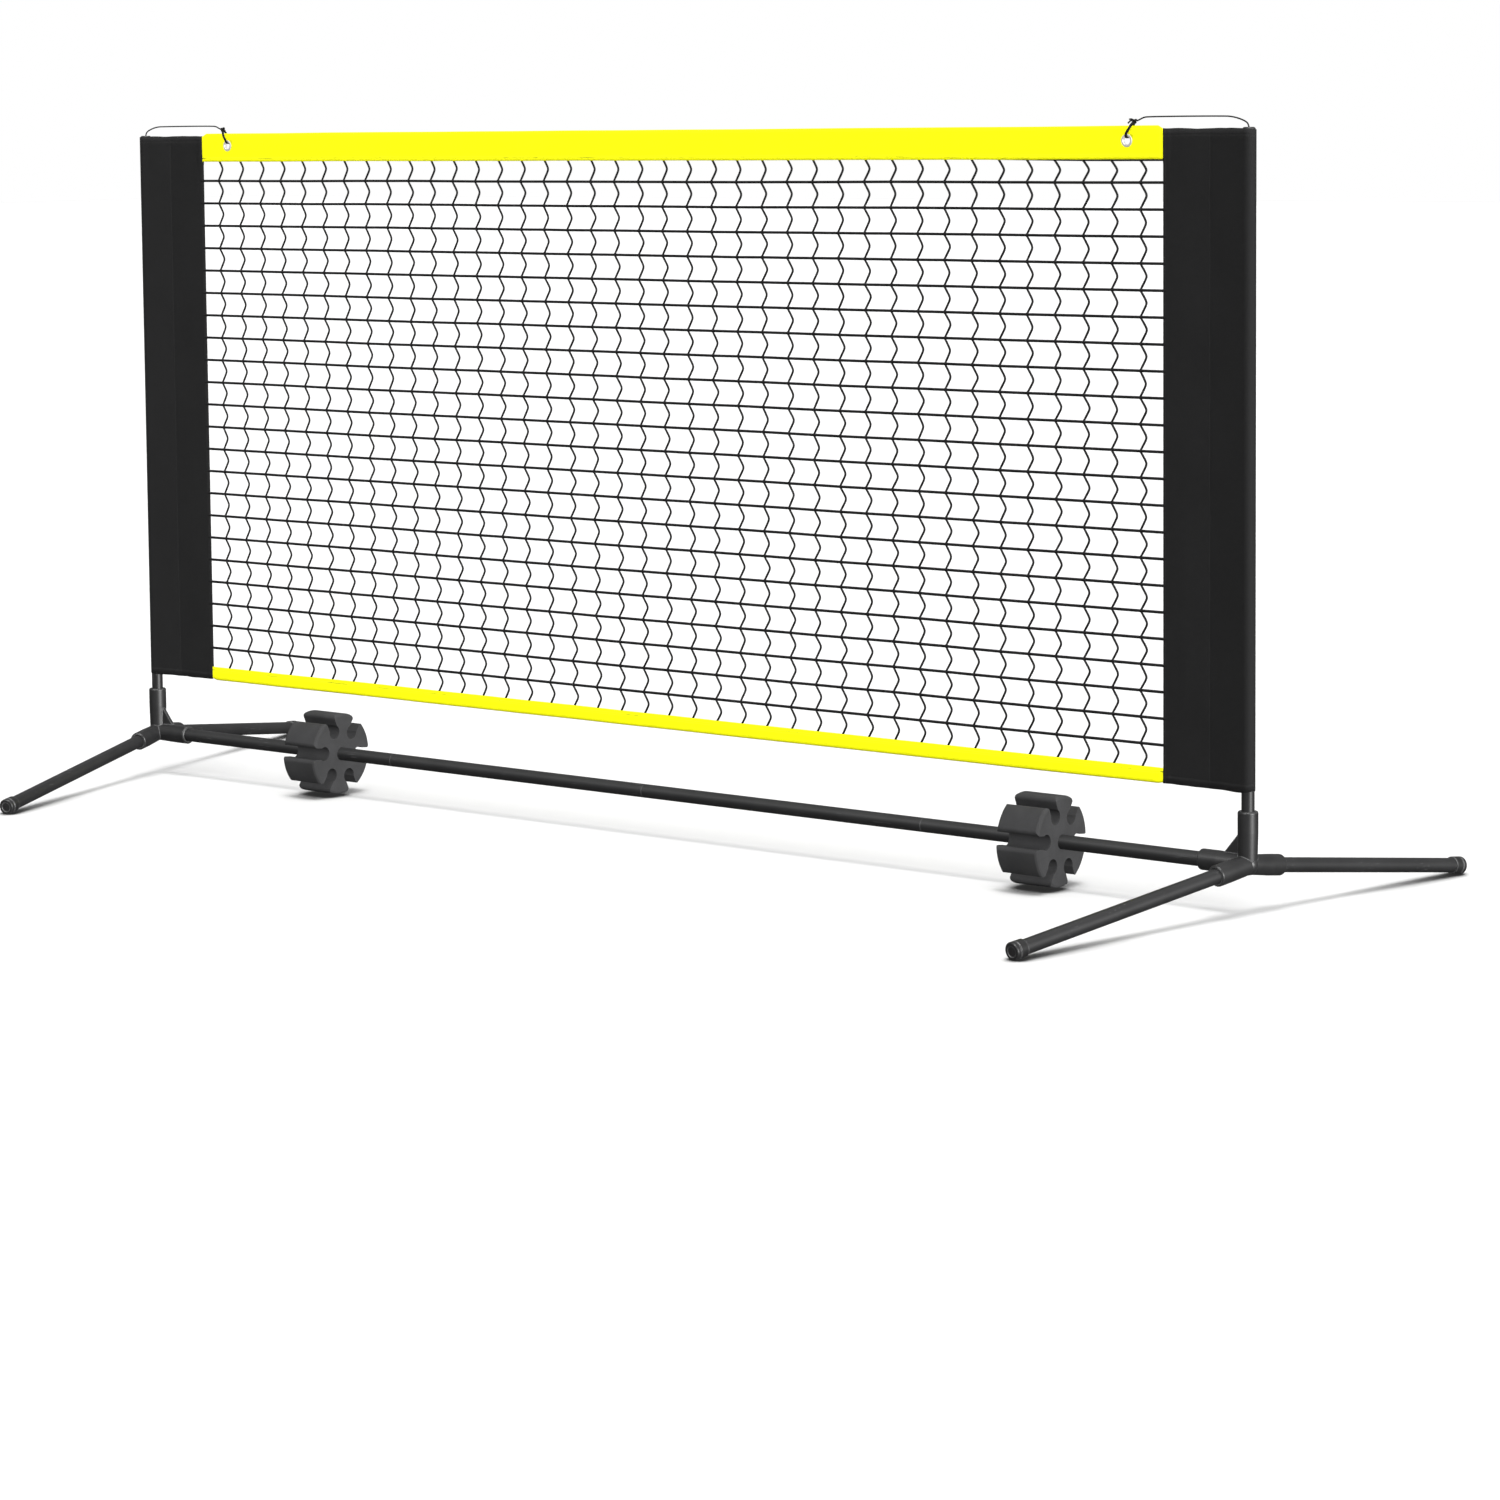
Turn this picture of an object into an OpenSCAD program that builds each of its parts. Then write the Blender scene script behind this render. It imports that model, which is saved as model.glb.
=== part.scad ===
// Portable court net on a low frame: a crossbar between two four-way connectors, splayed legs,
// plug-in poles, a net with fabric end sleeves, and two tube organizers that ride on the crossbar.
// Millimetres, +Z up. X runs along the net, Y along the legs, Z = 0 is the floor under the middle.

/* [Net] */
// Width of the net from one sleeve's outer edge to the other's
net_span = 3050; // [2400:10:4300]
// Height of the top band's upper edge above the floor
net_top = 1538; // [1200:5:1850]
// Height of the bottom band's lower edge above the floor
net_bottom = 240; // [230:5:420]
// Height of the top band
top_band_h = 66; // [60:1:90]
// Height of the bottom band
bottom_band_h = 31; // [26:1:60]
// Width of each end sleeve, from its outer edge to the net
sleeve_w = 206; // [120:1:300]
// Thickness of the sleeve's fabric
fabric_t = 1.5; // [1:0.1:2.5]
// Thickness of the net and of the sleeve's flat panel
net_t = 2; // [1.6:0.1:3]
// Columns of net cells
net_columns = 24; // [8:1:25]
// Rows of net cells
net_rows = 12; // [4:1:12]
// Width of a net string
string_w = 3; // [2:0.5:5]
// How far the upright strings belly sideways between two knots
string_belly = 15; // [4:1:25]
// How far the net reaches up and down into the bands
net_tuck = 20; // [10:1:22]
// How far the bands lap over the sleeves
band_lap = 12; // [8:1:20]
// Thickness of one wall of a folded band
band_wall = 1.3; // [1:0.1:2]

/* [Tubes] */
// Outer diameter of the crossbar and the legs
bar_d = 30; // [26:0.5:34]
// Outer diameter of the poles
pole_d = 26; // [22:0.5:29]
// Wall of every tube
tube_wall = 1.2; // [1:0.1:2]
// Horizontal distance from the pole's axis to the end of a foot
leg_reach = 635; // [450:5:900]
// Turn of the legs from square to the crossbar, the front feet towards the middle
leg_turn = 13; // [0:1:15]
// Sections in the crossbar
bar_sections = 4; // [4]
// Length of a joining ferrule
ferrule_len = 120; // [80:5:180]
// Wall of a ferrule
ferrule_wall = 2; // [1.5:0.1:3]

/* [Connectors] */
// Wall around a tube in its socket
socket_wall = 6; // [4:0.5:8]
// Distance from the connector's centre to the mouth of the pole socket
pole_socket_len = 106; // [90:1:125]
// Distance from the connector's centre to the mouth of a leg socket
leg_socket_len = 92; // [80:1:110]
// Distance from the connector's centre to the mouth of the crossbar socket
bar_socket_len = 105; // [90:1:120]
// How far from the connector's centre a leg or pole stops
socket_stop = 22; // [21:1:30]
// How far from the connector's centre the crossbar stops
bar_stop = 28; // [24:1:40]
// Height of the gusset above the crossbar's axis
gusset_h = 61; // [40:1:70]
// Reach of the gusset along the crossbar from the connector's centre
gusset_reach = 52; // [40:1:80]
// Thickness of the gusset
gusset_t = 8; // [5:0.5:12]

/* [Feet and pole caps] */
// Wall of an end cap around its tube
cap_wall = 3; // [2.5:0.25:6]
// Length of an end cap
cap_len = 30; // [24:1:60]
// Thickness of an end cap's end wall
cap_end_t = 5; // [3:0.5:8]
// Depth of the flat under an end cap's rim
foot_flat = 1.6; // [1.2:0.1:2.5]
// Height of a pole cap's head
pole_cap_h = 8; // [5:0.5:12]
// How far a pole cap's stem goes down the pole
pole_cap_stem = 25; // [15:1:40]

/* [Organizers] */
// Diameter of an organizer over its lobes
organizer_d = 188; // [185:1:215]
// Length of an organizer along the crossbar
organizer_len = 100; // [60:1:140]
// Gap between an organizer and the floor
organizer_gap = 5; // [1:0.5:10]
// Number of slots
slots = 6; // [5:1:6]
// Radius of a slot's round bottom
slot_r = 16.5; // [15.5:0.5:18]
// Distance from the crossbar's axis to a slot's centre
slot_ring_r = 58; // [56:1:64]
// Width of a slot's mouth
slot_mouth = 27; // [16:1:28]
// Rounding of the lobes' corners
lobe_round = 8.5; // [3:0.5:9]
// Turn of the organizers on the crossbar
organizer_turn = 6.5; // [-30:0.5:30]
// Distance of the left organizer from the middle
organizer_left_x = 955; // [200:5:1000]
// Distance of the right organizer from the middle
organizer_right_x = 1030; // [200:5:1050]

/* [Eyelets and cords] */
// Distance from a sleeve's inner edge to the eyelet's centre
eyelet_inset = 83; // [40:1:150]
// Distance from the top band's upper edge to the eyelet's centre
eyelet_drop = 29; // [20:1:34]
// Outer diameter of an eyelet
eyelet_d = 26; // [22:0.5:30]
// Diameter of an eyelet's hole
eyelet_hole_d = 16; // [12:0.5:18]
// Thickness of an eyelet's metal
eyelet_t = 1.2; // [0.8:0.1:1.6]
// Diameter of the tension cords
cord_d = 3; // [2.5:0.5:4]
// Length of the knot in a tension cord
knot_len = 15; // [10:0.5:20]
// Diameter of the knot
knot_d = 11; // [8:0.5:14]

/* [Clearances] */
// Gap all round between a tube and its socket, sleeve or organizer
fit_gap = 0.3; // [0.2:0.05:0.5]
// Gap all round between a tube and the ferrule, cap stem or plug inside it
plug_gap = 0.2; // [0.15:0.05:0.3]
// Gap between a band's wall and the fabric that it laps
band_gap = 0.2; // [0.1:0.05:0.4]

/* [Hidden] */

$fn = 64;
LEFT = -1;
RIGHT = 1;
FRONT = -1;
BACK = 1;

// Frame layout
channel_r = pole_d / 2 + fit_gap;
pole_x = net_span / 2 - channel_r - fabric_t;
bar_z = organizer_d / 2 + organizer_gap;
cap_d = bar_d + 2 * (plug_gap + cap_wall);
foot_z = cap_d / 2 - foot_flat;
leg_slope = atan2(bar_z - foot_z, leg_reach);
leg_axis_len = leg_reach / cos(leg_slope);
bar_half = pole_x - bar_stop - fit_gap;
section_len = 2 * bar_half / bar_sections;
socket_r = bar_d / 2 + fit_gap + socket_wall;
pole_socket_r = pole_d / 2 + fit_gap + socket_wall + 1;
socket_round = 4;
edge_chamfer = 0.6;
mouth_chamfer = 1.6;

// Poles
pole_foot_z = bar_z + socket_stop + fit_gap;
sleeve_top = net_top - 6;
sleeve_bottom = net_bottom + band_wall + band_gap;
pole_head_z = sleeve_top + 2;
pole_tube_top = pole_head_z - pole_cap_h;
pole_joint_z = (pole_foot_z + pole_tube_top) / 2;

// Net and bands
net_half = net_span / 2 - sleeve_w;
band_half = net_half + band_lap;
band_t = net_t + 2 * (band_gap + band_wall);
net_low = net_bottom + bottom_band_h - net_tuck;
net_high = net_top - top_band_h + net_tuck;
cell_w = (2 * net_half - string_w) / net_columns;
cell_h = (net_high - net_low - string_w) / net_rows;
belly_steps = 3;

// Sleeve section: the pole channel narrows to the flat panel
channel_taper = 46;
channel_inner_taper = 36;

// Eyelets and cords
eyelet_x = net_half - eyelet_inset;
eyelet_z = net_top - eyelet_drop;
barrel_r = eyelet_hole_d / 2 + eyelet_t;
knot_x = eyelet_x + 16;
knot_z = net_top + 9;
cord_r = cord_d / 2;
cord_sides = 8;

// Route of a tension cord from the pole cap to the knot, as [distance outboard of the eyelet, height
// above the top band's upper edge], by hand
CORD_ROUTE = [[274, -4], [274, 0], [271, 4], [264, 8], [250, 13], [236, 16], [222, 17], [160, 17.5],
    [90, 17.5], [46, 17], [36, 15.5], [29, 12], [22, 9.5]];
// Route of the loop from the knot through the eyelet and back, as [distance outboard of the eyelet,
// depth towards the back, height above the top band's upper edge], by hand
LOOP_ROUTE = [[14, -2, 6], [11, -5, 1], [8, -7, -5], [4, -7.5, -11], [1, -7.2, -16], [0, -5.5, -20.5],
    [0, -2.5, -23], [0, 2.5, -23], [0, 5.5, -20.5], [1, 7.2, -16], [4, 7.5, -11], [8, 7, -5], [11, 5, 1],
    [14, 2, 6]];

// --- Tube and profile helpers ---------------------------------------------------------------

// Tube along +Z from z = 0, its outer edges broken by a small chamfer
module tube(d, wall, len) {
    r = d / 2;
    rotate_extrude()
        polygon([[r - wall, 0], [r - edge_chamfer, 0], [r, edge_chamfer], [r, len - edge_chamfer],
            [r - edge_chamfer, len], [r - wall, len]]);
}

// --- Connectors -----------------------------------------------------------------------------

// Outside of a socket along +Z: it swells to a rounded rim at the mouth
module socket_body(r, len) {
    root_r = r - 1.5;
    rotate_extrude()
        polygon(concat([[0, 0], [root_r, 0], [r, len * 0.6], [r, len - socket_round]],
            [for (a = [15:15:90]) [r - socket_round + socket_round * cos(a),
                len - socket_round + socket_round * sin(a)]],
            [[0, len]]));
}

// Bore of a socket along +Z from its stop, opened by a chamfer at the mouth
module socket_bore(d, stop, len) {
    r = d / 2 + fit_gap;
    translate([0, 0, stop])
        cylinder(r = r, h = len - stop + 1);
    translate([0, 0, len - mouth_chamfer])
        rotate_extrude()
            polygon([[0, 0], [r, 0], [r + mouth_chamfer + 1, mouth_chamfer + 1], [0, mouth_chamfer + 1]]);
}

// Rib between the pole socket and the crossbar socket; the crossbar runs along +X here
module gusset() {
    rotate([90, 0, 0])
        translate([0, 0, -gusset_t / 2])
            linear_extrude(gusset_t)
                polygon([[0, 0], [gusset_reach, 0], [gusset_reach, socket_r - 2],
                    [pole_socket_r - 2, gusset_h], [0, gusset_h]]);
}

// Puts what runs along +Z on a leg's axis; the crossbar runs along +X for a left-hand leg
module on_leg_axis(face) {
    rotate([-face * (90 + leg_slope), 0, leg_turn])
        children();
}

// Left-hand four-way connector whose crossbar socket points along +X, its centre at the origin
module connector_shape() {
    difference() {
        union() {
            sphere(r = socket_r);
            socket_body(pole_socket_r, pole_socket_len);
            rotate([0, 90, 0])
                socket_body(socket_r, bar_socket_len);
            for (face = [FRONT, BACK])
                on_leg_axis(face)
                    socket_body(socket_r, leg_socket_len);
            gusset();
        }
        socket_bore(pole_d, socket_stop, pole_socket_len);
        rotate([0, 90, 0])
            socket_bore(bar_d, bar_stop, bar_socket_len);
        for (face = [FRONT, BACK])
            on_leg_axis(face)
                socket_bore(bar_d, socket_stop, leg_socket_len);
    }
}

// Puts a left-hand shape that is centred on a connector at either end of the crossbar
module at_end(side) {
    translate([side * pole_x, 0, bar_z])
        mirror([side == RIGHT ? 1 : 0, 0, 0])
            children();
}

module connector(side) {
    color("#1b1b1c")
        at_end(side)
            connector_shape();
}

// --- Crossbar, legs and poles ---------------------------------------------------------------

module crossbar_section(index) {
    color("#2b2c2e")
        translate([-bar_half + (index - 1) * section_len, 0, bar_z])
            rotate([0, 90, 0])
                tube(bar_d, tube_wall, section_len);
}

module crossbar_ferrule(index) {
    color("#8a8d90")
        translate([-bar_half + index * section_len - ferrule_len / 2, 0, bar_z])
            rotate([0, 90, 0])
                tube(bar_d - 2 * (tube_wall + plug_gap), ferrule_wall, ferrule_len);
}

module leg(side, face) {
    color("#2b2c2e")
        at_end(side)
            on_leg_axis(face)
                translate([0, 0, socket_stop + fit_gap])
                    tube(bar_d, tube_wall, leg_axis_len - cap_end_t - plug_gap - socket_stop - fit_gap);
}

// Cap along +Z whose closed end is at z = cap_len: a cup with a grip groove and a rounded rim
module end_cap_shape() {
    r = cap_d / 2;
    bore_r = bar_d / 2 + plug_gap;
    lip = cap_wall / 3;
    rim = 3;
    groove = 1;
    groove_z = cap_len - 10;
    dish_r = r - 7;
    dish_t = 1;
    rotate_extrude()
        polygon(concat([[bore_r, 0], [bore_r + lip, 0], [r - lip / 2, lip], [r, groove_z - 2 * groove],
                [r - groove, groove_z - groove], [r - groove, groove_z], [r, groove_z + groove],
                [r, cap_len - rim]],
            [for (a = [18:18:90]) [r - rim + rim * cos(a), cap_len - rim + rim * sin(a)]],
            [[dish_r, cap_len], [dish_r - dish_t, cap_len - dish_t], [0, cap_len - dish_t],
                [0, cap_len - cap_end_t], [bore_r, cap_len - cap_end_t]]));
}

module end_cap(side, face) {
    foot_x = -face * leg_reach * sin(leg_turn);
    foot_y = face * leg_reach * cos(leg_turn);
    color("#161617")
        at_end(side)
            difference() {
                on_leg_axis(face)
                    translate([0, 0, leg_axis_len - cap_len])
                        end_cap_shape();
                translate([foot_x - 2 * cap_len, foot_y - 2 * cap_len, -bar_z - cap_d])
                    cube([4 * cap_len, 4 * cap_len, cap_d]);
            }
}

module pole_lower(side) {
    color("#202122")
        translate([side * pole_x, 0, pole_foot_z])
            tube(pole_d, tube_wall, pole_joint_z - pole_foot_z);
}

module pole_upper(side) {
    color("#202122")
        translate([side * pole_x, 0, pole_joint_z])
            tube(pole_d, tube_wall, pole_tube_top - pole_joint_z);
}

module pole_ferrule(side) {
    color("#8a8d90")
        translate([side * pole_x, 0, pole_joint_z - ferrule_len / 2])
            tube(pole_d - 2 * (tube_wall + plug_gap), ferrule_wall, ferrule_len);
}

// Plug in the pole's top; the tension cord comes out of the hole in its head
module pole_cap(side) {
    head_r = pole_d / 2;
    stem_r = pole_d / 2 - tube_wall - plug_gap;
    hole_r = cord_r + 0.5;
    round_r = 5;
    color("#161617")
        translate([side * pole_x, 0, pole_tube_top])
            rotate_extrude()
                polygon(concat([[hole_r, -pole_cap_stem], [stem_r - 1, -pole_cap_stem],
                        [stem_r, 1 - pole_cap_stem], [stem_r, 0], [head_r, 0],
                        [head_r, pole_cap_h - round_r]],
                    [for (a = [18:18:90]) [head_r - round_r + round_r * cos(a),
                        pole_cap_h - round_r + round_r * sin(a)]],
                    [[hole_r, pole_cap_h]]));
}

// --- Organizers -----------------------------------------------------------------------------

// Cuts one keyhole slot up along +Y and rounds the two lobe corners beside it
module slot_cut() {
    rim_r = organizer_d / 2;
    round_x = slot_mouth / 2 + lobe_round;
    round_y = sqrt(pow(rim_r - lobe_round, 2) - pow(round_x, 2));
    reach = (rim_r + 2) / (rim_r - lobe_round);
    translate([0, slot_ring_r])
        circle(r = slot_r);
    translate([-slot_mouth / 2, slot_ring_r])
        square([slot_mouth, rim_r]);
    for (hand = [-1, 1])
        difference() {
            polygon([[0, round_y], [0, rim_r + 2], [hand * round_x * reach, round_y * reach],
                [hand * round_x, round_y]]);
            translate([hand * round_x, round_y])
                circle(r = lobe_round);
        }
}

// Six-lobed wheel along +X, centred on the crossbar, its lobes' end edges rounded
module organizer(x) {
    rim_r = organizer_d / 2;
    edge_r = 6;
    half = organizer_len / 2;
    color("#3c3c3d")
        translate([x, 0, bar_z])
            rotate([-organizer_turn, 0, 0])
                rotate([90, 0, 90])
                    intersection() {
                        translate([0, 0, -half])
                            linear_extrude(organizer_len)
                                difference() {
                                    circle(r = rim_r, $fn = 96);
                                    circle(r = bar_d / 2 + fit_gap);
                                    for (i = [0:slots - 1])
                                        rotate((i + 0.5) * 360 / slots)
                                            slot_cut();
                                }
                        rotate_extrude($fn = 96)
                            polygon([[0, -half], [rim_r - edge_r, -half], [rim_r - edge_r / 3, edge_r / 3 - half],
                                [rim_r, edge_r - half], [rim_r, half - edge_r],
                                [rim_r - edge_r / 3, half - edge_r / 3], [rim_r - edge_r, half], [0, half]]);
                    }
}

// --- Net, sleeves and bands -----------------------------------------------------------------

// Upright prism around the pole whose section runs out along +X to a tip at x = tip; its sides leave
// the circle of radius r a little past the tangent, so that they cut it cleanly
module teardrop_prism(r, tip, h) {
    touch = acos(r / tip) - 3;
    cylinder(r = r, h = h);
    linear_extrude(h)
        polygon([[0, 0], [r * cos(touch), r * sin(touch)], [tip, 0], [r * cos(touch), -r * sin(touch)]]);
}

module sleeve(side) {
    h = sleeve_top - sleeve_bottom;
    color("#141415")
        translate([side * pole_x, 0, sleeve_bottom])
            mirror([side == RIGHT ? 1 : 0, 0, 0])
                difference() {
                    union() {
                        teardrop_prism(channel_r + fabric_t, channel_taper, h);
                        translate([0, -net_t / 2, 0])
                            cube([pole_x - net_half, net_t, h]);
                    }
                    translate([0, 0, -1])
                        teardrop_prism(channel_r, channel_inner_taper, h + 2);
                }
}

// Band folded over the net's edge: a channel along X that is open towards the net
module folded_band(h, opens_up) {
    translate([-band_half, 0, 0])
        rotate([90, 0, 90])
            linear_extrude(2 * band_half)
                difference() {
                    translate([-band_t / 2, 0])
                        square([band_t, h]);
                    translate([-band_t / 2 + band_wall, opens_up ? band_wall : -1])
                        square([band_t - 2 * band_wall, h - band_wall + 1]);
                }
}

module top_band() {
    color("#fcfe1d")
        difference() {
            translate([0, 0, net_top - top_band_h])
                folded_band(top_band_h, false);
            for (side = [LEFT, RIGHT])
                translate([side * eyelet_x, 0, eyelet_z])
                    rotate([90, 0, 0])
                        cylinder(r = barrel_r + plug_gap, h = 2 * band_t, center = true);
        }
}

module bottom_band() {
    color("#fcfe1d")
        translate([0, 0, net_bottom])
            folded_band(bottom_band_h, true);
}

// Sideways offset of an upright string at step i of a cell; the border strings stay straight
function belly(i, is_border) = is_border ? 0 : string_belly * sin(180 * i / belly_steps);

// Outline of one gap in the net, anticlockwise
function gap_points(c, r) = let (
        x0 = -net_half + string_w + c * cell_w,
        z0 = net_low + string_w + r * cell_h,
        gap_w = cell_w - string_w,
        gap_h = cell_h - string_w)
    concat(
        [for (i = [0:belly_steps]) [x0 + gap_w + belly(i, c == net_columns - 1), z0 + gap_h * i / belly_steps]],
        [for (i = [belly_steps:-1:0]) [x0 + belly(i, c == 0), z0 + gap_h * i / belly_steps]]);

module net_mesh() {
    color("#19191a")
        rotate([90, 0, 0])
            translate([0, 0, -net_t / 2])
                linear_extrude(net_t)
                    difference() {
                        translate([-net_half, net_low])
                            square([2 * net_half, net_high - net_low]);
                        for (c = [0:net_columns - 1])
                            for (r = [0:net_rows - 1])
                                polygon(gap_points(c, r));
                    }
}

// --- Eyelets and cords ----------------------------------------------------------------------

// Rolled grommet whose hole runs along Y: two flanges joined by a barrel through the band
module eyelet(side) {
    hole_r = eyelet_hole_d / 2;
    flange_r = eyelet_d / 2;
    face = band_t / 2 + plug_gap;
    crown = face + eyelet_t;
    color("#d9dadc")
        translate([side * eyelet_x, 0, eyelet_z])
            rotate([90, 0, 0])
                rotate_extrude()
                    polygon([[hole_r, -face], [hole_r + 0.8, -crown], [flange_r - 1, -crown],
                        [flange_r, -face - 0.3], [flange_r, -face], [barrel_r, -face], [barrel_r, face],
                        [flange_r, face], [flange_r, face + 0.3], [flange_r - 1, crown],
                        [hole_r + 0.8, crown], [hole_r, face]]);
}

function unit(v) = v / norm(v);

// Direction of a route at point i
function heading(p, i) = unit(p[min(i + 1, len(p) - 1)] - p[max(i - 1, 0)]);

// Round cord swept along a route that lies mostly in an XZ plane
module swept_cord(p, r) {
    n = cord_sides;
    rings = [for (i = [0:len(p) - 1]) let (t = heading(p, i),
            across = unit(cross(t, abs(t[1]) > 0.9 ? [1, 0, 0] : [0, 1, 0])), up = cross(t, across))
        [for (k = [0:n - 1]) p[i] + r * (cos(360 * k / n) * across + sin(360 * k / n) * up)]];
    last = (len(p) - 1) * n;
    polyhedron([for (ring = rings) for (q = ring) q],
        concat(
            [for (i = [0:len(p) - 2]) for (k = [0:n - 1]) let (a = i * n + k, b = i * n + (k + 1) % n)
                each [[a, b, a + n], [b, b + n, a + n]]],
            [for (k = [1:n - 2]) [0, k + 1, k]],
            [for (k = [1:n - 2]) [last, last + k, last + k + 1]]));
}

module tension_cord(side) {
    color("#0d0d0d")
        swept_cord([for (q = CORD_ROUTE) [side * (eyelet_x + q[0]), 0, net_top + q[1]]], cord_r);
}

module cord_loop(side) {
    color("#0d0d0d")
        swept_cord([for (q = LOOP_ROUTE) [side * (eyelet_x + q[0]), q[1], net_top + q[2]]], cord_r);
}

// Knot where the tension cord is tied to its loop: a bead with blunt ends
module cord_knot(side) {
    r = knot_d / 2;
    half = knot_len / 2;
    color("#0d0d0d")
        translate([side * knot_x, 0, knot_z])
            rotate([0, 90, 0])
                rotate_extrude($fn = 24)
                    polygon([[0, -half], [r * 0.45, -half], [r * 0.85, -half * 0.7], [r, 0],
                        [r * 0.85, half * 0.7], [r * 0.45, half], [0, half]]);
}

// --- Assembly -------------------------------------------------------------------------------

connector(LEFT);  // connector_left
connector(RIGHT);  // connector_right
crossbar_section(1);  // crossbar_section_1
crossbar_section(2);  // crossbar_section_2
crossbar_section(3);  // crossbar_section_3
crossbar_section(4);  // crossbar_section_4
crossbar_ferrule(1);  // crossbar_ferrule_1
crossbar_ferrule(2);  // crossbar_ferrule_2
crossbar_ferrule(3);  // crossbar_ferrule_3
leg(LEFT, FRONT);  // leg_front_left
leg(LEFT, BACK);  // leg_back_left
leg(RIGHT, FRONT);  // leg_front_right
leg(RIGHT, BACK);  // leg_back_right
end_cap(LEFT, FRONT);  // end_cap_front_left
end_cap(LEFT, BACK);  // end_cap_back_left
end_cap(RIGHT, FRONT);  // end_cap_front_right
end_cap(RIGHT, BACK);  // end_cap_back_right
pole_lower(LEFT);  // pole_lower_left
pole_upper(LEFT);  // pole_upper_left
pole_lower(RIGHT);  // pole_lower_right
pole_upper(RIGHT);  // pole_upper_right
pole_ferrule(LEFT);  // pole_ferrule_left
pole_ferrule(RIGHT);  // pole_ferrule_right
pole_cap(LEFT);  // pole_cap_left
pole_cap(RIGHT);  // pole_cap_right
organizer(-organizer_left_x);  // organizer_left
organizer(organizer_right_x);  // organizer_right
sleeve(LEFT);  // sleeve_left
sleeve(RIGHT);  // sleeve_right
top_band();
bottom_band();
net_mesh();
eyelet(LEFT);  // eyelet_left
eyelet(RIGHT);  // eyelet_right
tension_cord(LEFT);  // tension_cord_left
tension_cord(RIGHT);  // tension_cord_right
cord_loop(LEFT);  // cord_loop_left
cord_loop(RIGHT);  // cord_loop_right
cord_knot(LEFT);  // cord_knot_left
cord_knot(RIGHT);  // cord_knot_right
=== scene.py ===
"""Looks of a portable court net on poles: its soft goods, its finishes, the studio and the camera."""

import logging
import math
from dataclasses import dataclass
from enum import Enum
from typing import Callable, ClassVar, Iterable, Sequence

import bmesh
import bpy
from mathutils import Matrix, Vector, noise


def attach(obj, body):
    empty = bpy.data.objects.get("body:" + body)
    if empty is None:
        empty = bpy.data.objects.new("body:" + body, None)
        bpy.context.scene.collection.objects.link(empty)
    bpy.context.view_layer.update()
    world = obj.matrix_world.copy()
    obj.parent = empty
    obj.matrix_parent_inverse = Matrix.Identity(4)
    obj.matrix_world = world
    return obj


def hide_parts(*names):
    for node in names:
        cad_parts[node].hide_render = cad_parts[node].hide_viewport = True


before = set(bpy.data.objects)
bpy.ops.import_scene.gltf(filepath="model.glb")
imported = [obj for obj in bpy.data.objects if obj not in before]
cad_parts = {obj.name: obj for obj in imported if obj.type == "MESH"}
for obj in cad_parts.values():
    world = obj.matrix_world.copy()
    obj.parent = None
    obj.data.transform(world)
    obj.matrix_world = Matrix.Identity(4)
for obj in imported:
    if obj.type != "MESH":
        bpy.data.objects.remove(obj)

Colour = tuple[float, float, float]
Point = tuple[float, float, float]
Socket = bpy.types.NodeSocket
Sockets = dict[str, Socket]
Pair = tuple[float, float]
Piece = bpy.types.Object
Mesh = bpy.types.Mesh
Cut = bmesh.types.BMesh

QUARTER = math.pi / 2
SMOOTH_STEPS = 12
NET_BODY = "net_frame"
MAP = "UVMap"
log = logging.getLogger("court_net")


class Named(Enum):
    """A choice whose name the parts write in lower case."""

    @property
    def label(self) -> str:
        """The name as the parts write it."""
        return self.name.lower()


class Side(Named):
    """The two ends of the net, by the sign of X."""

    LEFT = -1
    RIGHT = 1


class Edge(Named):
    """The net's two long edges, by the way their folded band opens."""

    TOP = -1
    BOTTOM = 1


# Node trees


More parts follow.
